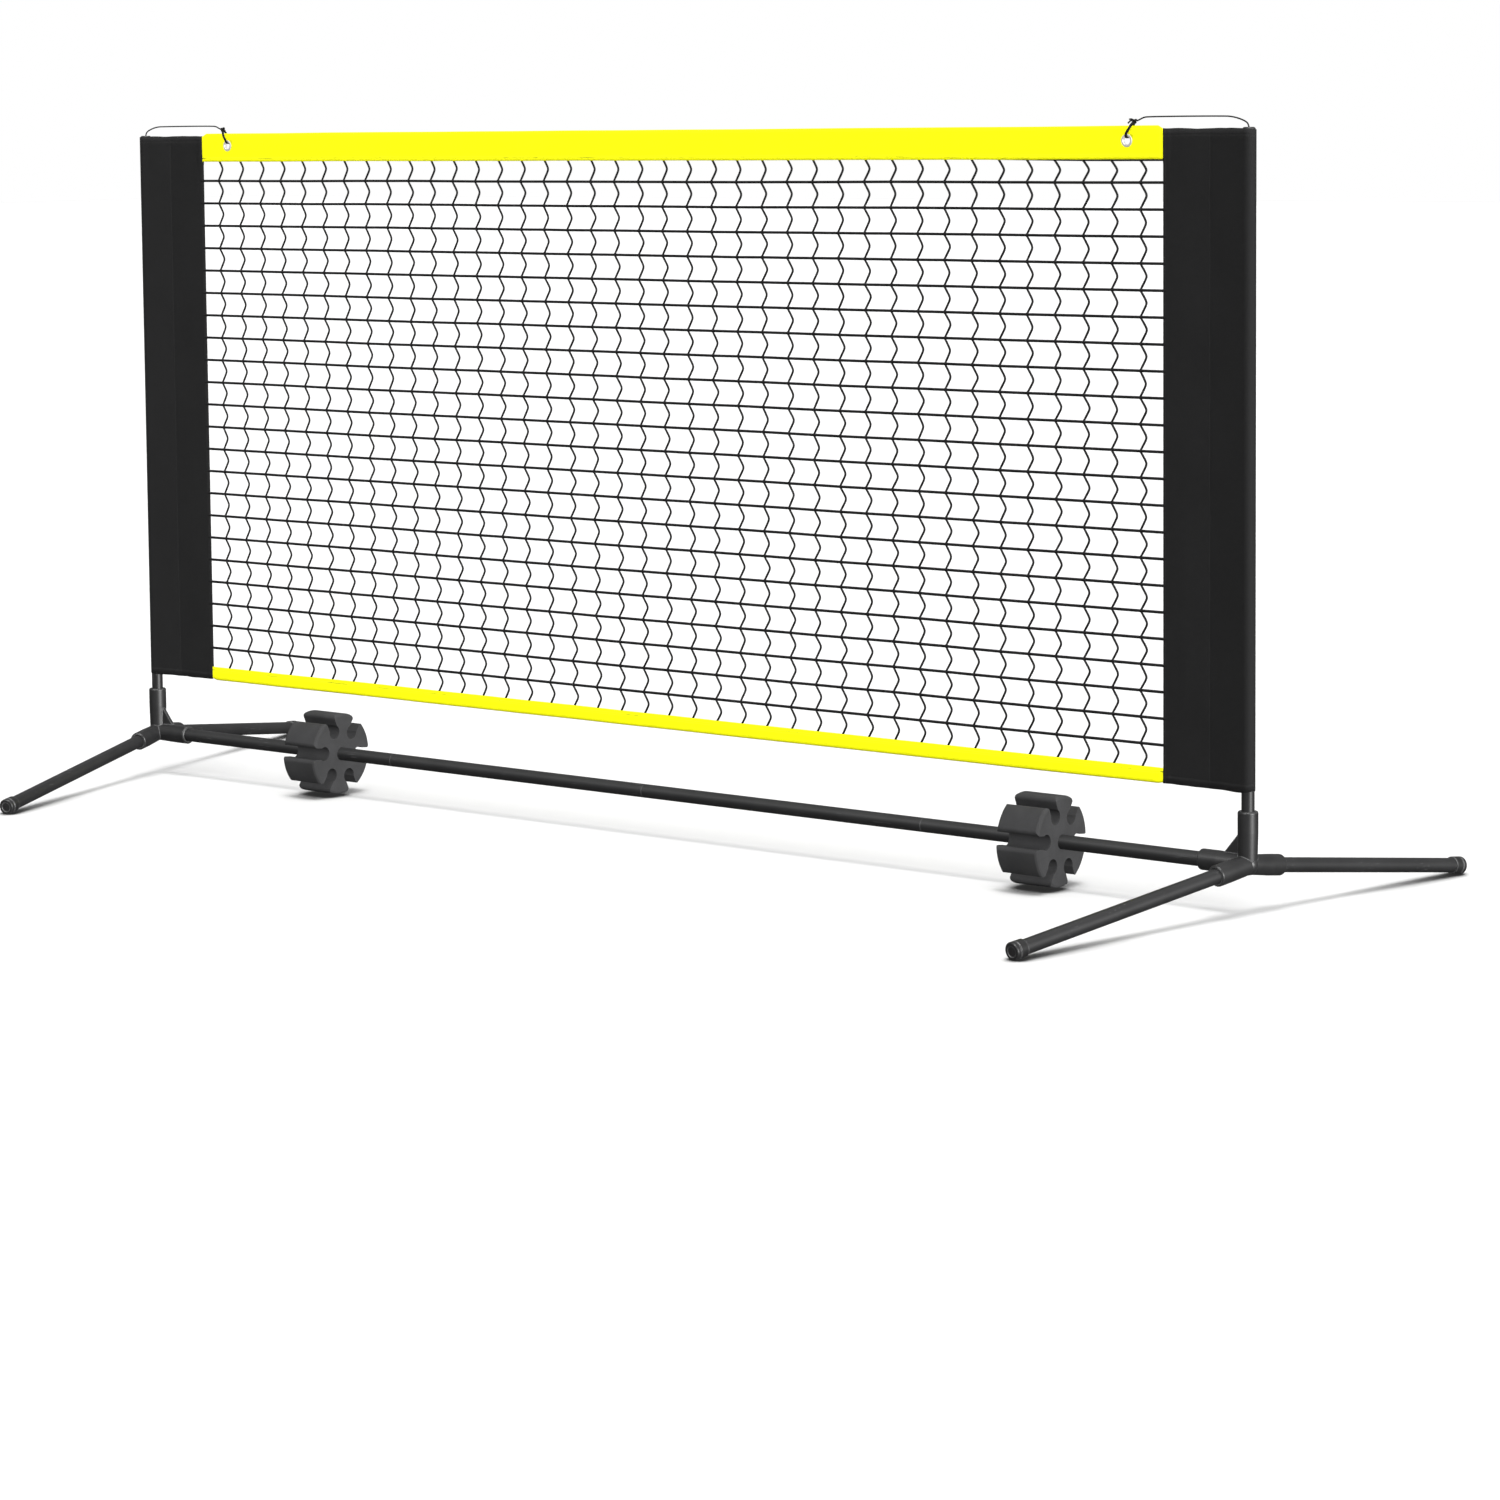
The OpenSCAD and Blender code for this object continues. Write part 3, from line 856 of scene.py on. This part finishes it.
def punch(bm: Cut, centre: Pair, radius: float, reach: float) -> None:
    """Punches a round hole through a flat cloth.

    Args:
        bm: The cloth, flat on the XY plane.
        centre: The hole's centre.
        radius: The hole's radius.
        reach: Half the side of the square of cells that is cut again around it.
    """
    middle = Vector((*centre, 0.0))
    away = {f: f.calc_center_median() - middle for f in bm.faces}
    patch = [f for f, gap in away.items() if abs(gap.x) < reach and abs(gap.y) < reach]
    counted = [e for f in patch for e in f.edges]
    rim = [e for e in counted if counted.count(e) == 1]
    bmesh.ops.delete(bm, geom=patch, context="FACES")
    drawn = bmesh.ops.extrude_edge_only(bm, edges=rim)["geom"]
    for vert in (v for v in drawn if isinstance(v, bmesh.types.BMVert)):
        vert.co = middle + (vert.co - middle).normalized() * radius


def fold_cloth(bm: Cut, fold: Callable[[float, float], Point]) -> None:
    """Maps a flat cloth in metres, folds it into place and turns its front ply to the front.

    Args:
        bm: The cloth.
        fold: Gives a flat point's place on the object.
    """
    layer = bm.loops.layers.uv.new(MAP)
    for loop in (loop for face in bm.faces for loop in face.loops):
        loop[layer].uv = loop.vert.co.xy
    for vert in bm.verts:
        vert.co = fold(vert.co.x, vert.co.y)
    bm.normal_update()
    ahead = Vector((0.0, -1.0, 0.0))
    front = max(bm.faces, key=lambda f: abs(f.normal.dot(ahead)) + (f.calc_center_median().y < 0))
    if front.normal.dot(ahead) < 0:
        bmesh.ops.reverse_faces(bm, faces=bm.faces[:])


def clamped(value: float) -> float:
    """A value held between 0 and 1."""
    return min(1.0, max(0.0, value))


@dataclass(frozen=True)
class Ripple:
    """Smooth noise of this depth, with waves of this size; the seed picks its pattern."""

    depth: float
    size: float
    seed: float

    def at(self, *place: float) -> float:
        """Its height at a place, from minus its depth to its depth."""
        shift = Vector((self.seed, 3.1 * self.seed, 7.7 * self.seed))
        return self.depth * noise.noise(Vector(place) / self.size + shift)


# The net and what is sewn or tied to it


@dataclass
class CornerTie:
    """The cord from a pole's head to an eyelet of the top band: cord, knot and loop."""

    side: Side
    eyelet_x: float = 1.236
    band_top: float = 1.538
    thickness: float = 0.003
    cord_route: tuple[Pair, ...] = (
        (0.274, -0.004), (0.274, 0.0), (0.271, 0.004), (0.264, 0.008), (0.250, 0.013),
        (0.236, 0.016), (0.222, 0.017), (0.160, 0.0175), (0.090, 0.0175), (0.046, 0.017),
        (0.036, 0.0155), (0.029, 0.012), (0.022, 0.0095),
    )
    half_loop: tuple[Point, ...] = (
        (0.014, -0.002, 0.006), (0.011, -0.005, 0.001), (0.008, -0.007, -0.005),
        (0.004, -0.0075, -0.011), (0.001, -0.0072, -0.016), (0.0, -0.0055, -0.0205),
        (0.0, -0.0025, -0.023),
    )
    knot_heart: Point = (0.016, 0.0, 0.009)
    knot_size: Point = (0.0019, 0.0022, 0.00145)
    knot_swell: float = 1.05
    tails: tuple[tuple[Point, Point], ...] = (
        ((-0.006, -0.003, 0.001), (-0.012, -0.004, -0.004)),
        ((-0.004, -0.003, 0.004), (-0.009, -0.004, 0.0035)),
    )
    loop_spread: float = 0.0016
    knot_steps: int = 40
    knot_cord: float = 0.06

    def at(self, outboard: float, y: float, above: float) -> Vector:
        """A point by its distance outboard of the eyelet, its Y and its height above the band."""
        return Vector((self.side.value * (self.eyelet_x + outboard), y, self.band_top + above))

    def make_knot(self) -> Piece:
        """Ties the knot: an overhand knot drawn tight, with two short tails.

        Returns:
            The knot's object.
        """
        heart = self.at(*self.knot_heart)
        wide, deep, tall = self.knot_size
        turns = []
        for step in range(self.knot_steps):
            t = math.tau * step / self.knot_steps
            x, z = math.sin(t) + 2 * math.sin(2 * t), math.cos(t) - 2 * math.cos(2 * t)
            turns.append(heart + Vector((x * wide, -math.sin(3 * t) * deep, z * tall)))
        turns.append(turns[0])
        out = self.side.value
        tails = [
            smooth_route([heart, *(heart + Vector((out * x, y, z)) for x, y, z in tail)], 8)
            for tail in self.tails
        ]
        curve = tube_curve("knot", [turns, *tails], self.thickness / 2 * self.knot_swell, 2)
        mesh = join_meshes("knot", [mesh_of_curve(curve, self.knot_cord)])
        piece = add_piece(f"knot_{self.side.label}", mesh, CORD_BRAID)
        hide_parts(f"cord_knot_{self.side.label}")
        return piece

    def run_cord(
        self, name: str, node: str, places: Iterable[Vector], count: int, **facts: object
    ) -> Piece:
        """Args:
            name: The cord's name.
            node: The solid that it stands for, without its side.
            places: The route.
            count: How many points the cord gets.
            facts: What is known of the cord. Not used.

        Returns:
            The cord's object.
        """
        route = smooth_route(places, count)
        curve = tube_curve(name, [route], self.thickness / 2, 3)
        piece = add_piece(name, curve, CORD_BRAID)
        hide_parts(f"{node}_{self.side.label}")
        route_length(route)
        return piece

    def make_cord(self, knot: Piece) -> Piece:
        """Runs the tension cord from the pole's head over the sleeve to the knot."""
        route, name = [self.at(a, 0.0, b) for a, b in self.cord_route], f"cord_{self.side.label}"
        return self.run_cord(name, "tension_cord", route, 40, far_end="knot", with_pieces=[knot])

    def make_loop(self, turn: int) -> Piece:
        """Passes one turn of the loop through the eyelet.

        Args:
            turn: 0 or 1; the two turns lie side by side.

        Returns:
            The loop's object.
        """
        places = [*self.half_loop, *((a, -y, b) for a, y, b in reversed(self.half_loop))]
        route = [self.at(a + self.loop_spread * (2 * turn - 1), y, b) for a, y, b in places]
        name = f"loop_{self.side.label}_{turn + 1}"
        return self.run_cord(name, "cord_loop", route, 32, far_end="object")

    def make(self) -> list[Piece]:
        """Makes the whole tie."""
        knot = self.make_knot()
        return [knot, self.make_cord(knot), self.make_loop(0), self.make_loop(1)]


@dataclass
class EndSleeve:
    """A black end sleeve: one cloth folded round the pole and sewn to itself and the net."""

    side: Side
    pole_x: float = 1.5102
    inner_x: float = 1.319
    low: float = 0.2415
    high: float = 1.532
    channel_r: float = 0.0144
    seam_in: float = 0.085
    half_gap: float = 0.0019
    wall: float = 0.0008
    across: int = 124
    along: int = 110
    hem: float = 0.05
    hem_rise: float = 0.0035
    fold_reach: float = 0.016
    hem_ripples: tuple[Ripple, Ripple] = (Ripple(0.0016, 0.035, 1.0), Ripple(0.0016, 0.035, 3.0))
    slack_start: float = 0.02
    slack_run: float = 0.06
    slack_end: float = 0.05
    billow: Ripple = Ripple(0.0014, 0.16, 5.0)
    crease: Ripple = Ripple(0.0006, 0.035, 9.0)
    band_lap: float = 0.016
    band_zones: tuple[Pair, ...] = ((1.468, 1.54), (0.23, 0.275))

    @property
    def reach(self) -> float:
        """How far the channel's seam is from the pole's axis."""
        return math.hypot(self.seam_in, self.half_gap)

    @property
    def tangent(self) -> float:
        """The angle round the pole, from the outer fold, at which the cloth leaves it."""
        turned = math.acos(self.channel_r / self.reach) + math.atan2(self.half_gap, self.seam_in)
        return math.pi - turned

    @property
    def half_width(self) -> float:
        """The cloth's width from the outer fold to the net."""
        straight = math.sqrt(self.reach**2 - self.channel_r**2)
        return self.channel_r * self.tangent + straight + self.pole_x - self.inner_x - self.seam_in

    def section(self, s: float) -> Pair:
        """Where the cloth lies across the sleeve.

        Args:
            s: The distance along the cloth from its outer fold.

        Returns:
            The distance inboard of the pole's axis, and the distance from the middle plane.
        """
        arc = self.channel_r * self.tangent
        if s < arc:
            angle = s / self.channel_r
            return -self.channel_r * math.cos(angle), self.channel_r * math.sin(angle)
        start = (-self.channel_r * math.cos(self.tangent), self.channel_r * math.sin(self.tangent))
        straight = math.hypot(self.seam_in - start[0], self.half_gap - start[1])
        share = (s - arc) / straight
        if share < 1:
            return tuple(a + (b - a) * share for a, b in zip(start, (self.seam_in, self.half_gap)))
        return self.seam_in + s - arc - straight, self.half_gap

    def fold(self, across: float, along: float) -> Point:
        """Where a point of the flat cloth lies on the net.

        Args:
            across: Its distance from the outer fold; the front ply is negative.
            along: Its distance from the cloth's middle.

        Returns:
            The place.
        """
        face = -1.0 if across < 0 else 1.0
        inboard, off = self.section(abs(across))
        height = (self.high - self.low) / 2
        x, z = self.pole_x - inboard, (self.high + self.low) / 2 + along
        out = self.side.value * x
        edge = max(0.0, abs(along) - height + self.hem) / self.hem
        z -= math.copysign(edge, along) * self.hem_rise * math.exp(-((across / self.fold_reach) ** 2))
        z += edge * self.hem_ripples[across >= 0].at(out, 0.0, along / height)
        slack = clamped((inboard - self.slack_start) / self.slack_run)
        slack *= clamped((x - self.inner_x) / self.slack_end)
        off += slack * (self.billow.depth + self.billow.at(out, face, z))
        off += slack * self.crease.at(out, face, z * 0.4)
        if x < self.inner_x + self.band_lap and any(a < z < b for a, b in self.band_zones):
            off = max(off, BAND_HALF_GAP)
        return (out, face * off, z)

    def make(self) -> Piece:
        """Cuts, folds and hangs the sleeve.

        Returns:
            The sleeve's object.
        """
        flat = (2 * self.half_width, self.high - self.low)
        bm = cut_cloth(*flat, self.across, self.along)
        fold_cloth(bm, self.fold)
        side = self.side.label
        piece = hang_cloth(
            f"sleeve_cloth_{side}", bm, SLEEVE_CLOTH, self.wall, f"sleeve_{side}",
            flat=flat, held="stretched", rests_on=[f"pole_upper_{side}"],
        )
        return piece


@dataclass
class EdgeBand:
    """A yellow band folded over one long edge of the net and sewn through."""

    edge: Edge
    low: float
    high: float
    holes: tuple[float, ...] = ()
    hole_z: float = 1.509
    hole_r: float = 0.0098
    half_length: float = 1.329
    sleeve_x: float = 1.319
    half_gap: float = BAND_HALF_GAP
    wall: float = 0.0005
    dip: float = 0.0085
    cell: float = 0.0055
    tuck: float = 0.006
    tucked_in: float = 0.25
    free_from: float = 0.55
    pinch: float = 0.0003
    lip: Ripple = Ripple(0.00035, 0.014, 4.0)
    swell: Ripple = Ripple(0.0005, 0.06, 6.0)
    sway: Ripple = Ripple(0.0007, 0.22, 8.0)
    seam_rows: tuple[float, ...] = (0.006, 0.010)
    end_seam: float = 0.016

    @property
    def start(self) -> float:
        """The height of its fold."""
        return self.high if self.edge is Edge.TOP else self.low

    @property
    def depth(self) -> float:
        """The cloth's width from its fold to its free edge."""
        return self.high - self.low - self.half_gap + self.half_gap * QUARTER

    @property
    def finish(self) -> Cloth:
        """The yellow tape, with the seams for this width and length of band.

        Returns:
            The tape's finish.
        """
        rows = (Seam(self.depth - row) for row in self.seam_rows)
        return Cloth(
            f"yellow_{self.edge.label}_tape", (0.95, 0.955, 0.002), 0.7, 0.12,
            valley=(0.82, 0.81, 0.001), thread=(0.88, 0.89, 0.012), pitch=0.0009, depth=0.00010,
            seams=(*rows, Seam(self.half_length - self.end_seam, False)),
        )

    def fold(self, across: float, along: float) -> Point:
        """Where a point of the flat cloth lies on the net.

        Args:
            across: Its distance from the fold; the front ply is negative.
            along: Its distance from the net's middle.

        Returns:
            The place.
        """
        face = -1.0 if across < 0 else 1.0
        s, bend = abs(across), self.half_gap * QUARTER
        if s < bend:
            angle = s / self.half_gap
            off, drop = self.half_gap * math.sin(angle), self.half_gap * (1 - math.cos(angle))
        else:
            off, drop = self.half_gap, self.half_gap + s - bend
        share = s / self.depth
        free = max(0.0, share - self.free_from) / (1 - self.free_from)
        off += free * (self.lip.at(along, face, 0.0) - self.pinch)
        off += math.sin(math.pi * share) * self.swell.at(along, face, s)
        tucked = clamped((abs(along) - self.sleeve_x + self.tuck) / self.tuck)
        off *= 1 - self.tucked_in * tucked
        rise = self.sway.at(along, 1.0, 2.0) * (1 - tucked)
        rise += self.edge.value * self.dip * tucked**2 * (1 - share)
        return (along, face * off, self.start + self.edge.value * drop + rise)

    def make(self) -> Piece:
        """Cuts, punches, folds and hangs the band.

        Returns:
            The band's object.
        """
        flat = (2 * self.depth, 2 * self.half_length)
        bm = cut_cloth(*flat, 2 * round(self.depth / self.cell), round(flat[1] / self.cell / 2))
        bend = self.half_gap * (1 - QUARTER)
        for x in self.holes:
            for face in (-1, 1):
                away = abs(self.start - self.hole_z) - bend
                punch(bm, (face * away, x), self.hole_r, self.hole_r + self.cell)
        fold_cloth(bm, self.fold)
        node = f"{self.edge.label}_band"
        piece = hang_cloth(
            f"{node}_cloth", bm, self.finish, self.wall, node,
            flat=flat, held="folded", rests_on=["sleeve_cloth_left", "sleeve_cloth_right"],
        )
        return piece


@dataclass
class NetMesh:
    """The net: level strings and knotted uprights that belly out between them."""

    half_length: float = 1.326
    levels: tuple[float, float, int] = (0.26415, 0.05285, 24)
    uprights: tuple[float, float, int] = (-1.269, 0.0667, 39)
    belly: float = 0.0142
    level_r: float = 0.0032
    upright_r: float = 0.0024
    flattened: float = 0.9
    shares: tuple[float, ...] = (0.0, 0.17, 0.32, 0.41, 0.47, 0.53, 0.59, 0.68, 0.83)
    peak_round: float = 0.17
    top_dip: float = 0.0082
    dip_start: float = 0.55
    dip_run: float = 0.6
    knot: Point = (0.0038, 0.0033, 0.0040)
    sway: Ripple = Ripple(0.0011, 0.33, 3.0)
    kink: Ripple = Ripple(0.0004, 0.05, 1.0)
    drift: Ripple = Ripple(0.0016, 0.19, 12.0)
    fullness: Ripple = Ripple(0.12, 1.0, 21.0)
    skew: Ripple = Ripple(0.04, 1.0, 33.0)
    mean_skew: float = -0.02
    stray: Ripple = Ripple(0.0008, 0.7, 5.0)

    @property
    def heights(self) -> list[float]:
        """The level strings' own heights."""
        low, pitch, count = self.levels
        return [low + pitch * row for row in range(count)]

    def level_height(self, x: float, z: float, row: int) -> float:
        """Where a level string runs, with its small waver.

        Args:
            x: The place along it.
            z: Its own height.
            row: Its number.

        Returns:
            The height there.
        """
        waver = self.sway.at(x, 0.0, z) + self.kink.at(x, row, 0.0)
        if row == self.levels[2] - 1:
            z -= self.top_dip * clamped((x - self.dip_start) / self.dip_run)
        return z + waver * max(0.0, 1 - (abs(x) / self.half_length) ** 6)

    def knot_x(self, column: int, z: float) -> float:
        """Where along the net an upright is knotted at a height."""
        first, pitch, _ = self.uprights
        return first + pitch * column + self.drift.at(column * 0.7, 0.0, z)

    def level_routes(self) -> list[list[Vector]]:
        """The level strings' points.

        Returns:
            One list for each string.
        """
        first, step, columns = self.uprights
        xs = [-self.half_length, *(first + step * k for k in range(columns)), self.half_length]
        rows = enumerate(self.heights)
        return [[Vector((x, 0.0, self.level_height(x, z, row))) for x in xs] for row, z in rows]

    def bellied(self, share: float) -> float:
        """How far an upright bellies out: 0 at its knots, 1 halfway, with a rounded peak."""
        r = self.peak_round
        return (math.hypot(1.0, r) - math.hypot(2 * share - 1, r)) / (math.hypot(1.0, r) - r)

    def upright_routes(self) -> list[list[Vector]]:
        """The uprights' points.

        Returns:
            One list for each string.
        """
        heights, routes = self.heights, []
        for column in range(self.uprights[2]):
            route = []
            for row, (low, high) in enumerate(zip(heights, heights[1:])):
                depth = self.belly * (1 + self.fullness.at(column * 1.3, row * 1.7, 0.0))
                skew = self.skew.at(column * 0.9, row * 1.1, 4.0) + self.mean_skew
                for share in self.shares:
                    x = self.knot_x(column, low) * (1 - share) + self.knot_x(column, high) * share
                    z = self.level_height(x, low, row) * (1 - share)
                    z += self.level_height(x, high, row + 1) * share
                    hump = math.sin(math.pi * share)
                    y = hump * self.stray.at(column, row, 9.0)
                    route.append(Vector((x + depth * self.bellied(share + skew * hump), y, z)))
            top = self.knot_x(column, heights[-1])
            route.append(Vector((top, 0.0, self.level_height(top, heights[-1], len(heights) - 1))))
            routes.append(route)
        return routes

    def knots(self) -> Mesh:
        """The knots where uprights and level strings meet.

        Returns:
            Their mesh.
        """
        bm = bmesh.new()
        bm.loops.layers.uv.new(MAP)
        for column in range(self.uprights[2]):
            for row, z in enumerate(self.heights):
                x = self.knot_x(column, z)
                place = Matrix.Translation((x, 0.0, self.level_height(x, z, row)))
                size = Matrix.Diagonal((*self.knot, 1.0))
                bmesh.ops.create_icosphere(bm, subdivisions=1, radius=1.0, matrix=place @ size)
        return to_mesh("knots", bm)

    def make(self) -> Piece:
        """Knots the net.

        Returns:
            The net's object.
        """
        levels, uprights = self.level_routes(), self.upright_routes()
        level_tubes = tube_curve("levels", levels, self.level_r, 1, "POLY")
        upright_tubes = tube_curve("uprights", uprights, self.upright_r, 1, "POLY")
        parts = [
            mesh_of_curve(level_tubes, 2 * self.half_length),
            mesh_of_curve(upright_tubes, route_length(uprights[0])),
            self.knots(),
        ]
        twine = join_meshes("net_twine", parts)
        twine.transform(Matrix.Diagonal((1.0, self.flattened, 1.0, 1.0)))
        piece = add_piece("net_twine", twine, NET_TWINE)
        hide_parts("net_mesh")
        return piece


# The hard parts, the studio and the camera


@dataclass
class HardParts:
    """The frame's own solids, dressed in their finishes by the start of their names."""

    finishes: ClassVar[dict[Finish, tuple[str, ...]]] = {
        CONNECTOR_PLASTIC: ("connector",),
        CROSSBAR_COAT: ("crossbar_section",),
        FERRULE_ZINC: ("crossbar_ferrule", "pole_ferrule"),
        LEG_COAT: ("leg",),
        CAP_PLASTIC: ("end_cap", "pole_cap"),
        POLE_COAT: ("pole_lower", "pole_upper"),
        ORGANIZER_FOAM: ("organizer",),
        EYELET_NICKEL: ("eyelet",),
    }

    def dress(self) -> None:
        """Gives each solid its finish."""
        for name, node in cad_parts.items():
            for finish, starts in self.finishes.items():
                if name.startswith(starts):
                    for slot in node.material_slots:
                        slot.material = finish.material()
                    log.info("%s: %s", name, finish.name)


@dataclass(frozen=True)
class Lamp:
    """A distant soft light, even over the whole floor, by its direction, width and strength."""

    name: str
    azimuth: float
    height: float
    width: float
    strength: float
    shades: bool = False

    def hang(self) -> None:
        """Hangs the light. Its angles are in degrees, and its azimuth runs from +X towards +Y."""
        data = bpy.data.lights.new(self.name, "SUN")
        data.energy, data.angle, data.use_shadow = self.strength, math.radians(self.width), self.shades
        turn, rise = math.radians(self.azimuth), math.radians(self.height)
        add_piece(self.name, data).rotation_euler = (QUARTER - rise, 0.0, turn + QUARTER)


@dataclass
class Studio:
    """A pale sweep and soft light from above and all round."""

    floor_size: float = 120.0
    sky: float = 0.3
    mirrored_sky: float = 0.25
    back_wall: float = 1.3
    lamps: tuple[Lamp, ...] = (
        Lamp("top_light", -40.0, 82.0, 24.0, 2.6, True),
        Lamp("side_light", -10.0, 8.0, 30.0, 5.5),
        Lamp("front_light", -100.0, 40.0, 30.0, 2.0),
    )

    def make_sky(self) -> None:
        """Lights the world: white to the camera, darker in mirrors, brighter on the far side."""
        world = bpy.data.worlds.new("studio")
        world.use_nodes = True
        world.node_tree.nodes.clear()
        w = Wiring(world.node_tree)
        rays = w.add("LightPath").outputs
        camera, glossy = rays["Is Camera Ray"], rays["Is Glossy Ray"]
        plain = w.lift(camera, 1.0 - self.sky, self.sky)
        strength = w.lift(glossy, self.mirrored_sky - self.sky, plain)
        away = w.axes(w.add("TexCoord").outputs["Generated"])["Y"]
        wall = w.times(w.math("MAXIMUM", away, 0.0), self.back_wall)
        unseen = w.math("SUBTRACT", 1.0, w.math("MAXIMUM", camera, glossy))
        strength = w.lift(wall, unseen, strength)
        back = w.add("Background", {"Color": (1.0, 1.0, 1.0), "Strength": strength})
        w.add("OutputWorld", {"Surface": back.outputs[0]})
        bpy.context.scene.world = world

    def make(self) -> None:
        """Lays the floor, lights it, and sets plain colours."""
        bm = bmesh.new()
        bmesh.ops.create_grid(bm, x_segments=2, y_segments=2, size=self.floor_size / 2)
        floor = add_piece("studio_floor", to_mesh("studio_floor", bm), STUDIO_PAPER)
        for lamp in self.lamps:
            lamp.hang()
        self.make_sky()
        view = bpy.context.scene.view_settings
        view.view_transform, view.look = "Standard", "None"
        view.exposure, view.gamma = 0.0, 1.0


@dataclass
class Viewpoint:
    """The camera: where it stands and how it is held."""

    place: Point = (5.3325, -6.5933, 1.5418)
    azimuth: float = 37.372
    pitch: float = 4.706
    roll: float = -0.509
    focal: float = 3921.5
    picture: float = 1500.0
    centre_row: float = 450.0

    def make(self) -> None:
        """Sets up the camera and makes it the scene's own."""
        data = bpy.data.cameras.new("viewpoint")
        data.sensor_width = 36.0
        data.lens = self.focal * data.sensor_width / self.picture
        data.shift_y = (self.centre_row - self.picture / 2) / self.picture
        data.clip_end = 200.0
        held = Matrix.Translation(self.place)
        for angle, axis in ((self.azimuth, "Z"), (90.0 - self.pitch, "X"), (self.roll, "Z")):
            held @= Matrix.Rotation(math.radians(angle), 4, axis)
        camera = add_piece("viewpoint", data)
        camera.matrix_world = held
        bpy.context.scene.camera = camera


def main() -> None:
    """Builds the camera, the cords, the cloths and the net, dresses the hard parts and lights them."""
    logging.basicConfig(level=logging.INFO, format="%(message)s")
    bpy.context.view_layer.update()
    Viewpoint().make()
    pieces = [piece for side in Side for piece in CornerTie(side).make()]
    pieces += [EndSleeve(side).make() for side in Side]
    top = EdgeBand(Edge.TOP, 1.472, 1.538, holes=(-1.236, 1.236))
    bottom = EdgeBand(Edge.BOTTOM, 0.240, 0.271, dip=0.004)
    pieces += [top.make(), bottom.make(), NetMesh().make()]
    for piece in pieces:
        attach(piece, NET_BODY)
        log.info("%s rides on %s", piece.name, NET_BODY)
    HardParts().dress()
    Studio().make()


if __name__ == "__main__":
    main()
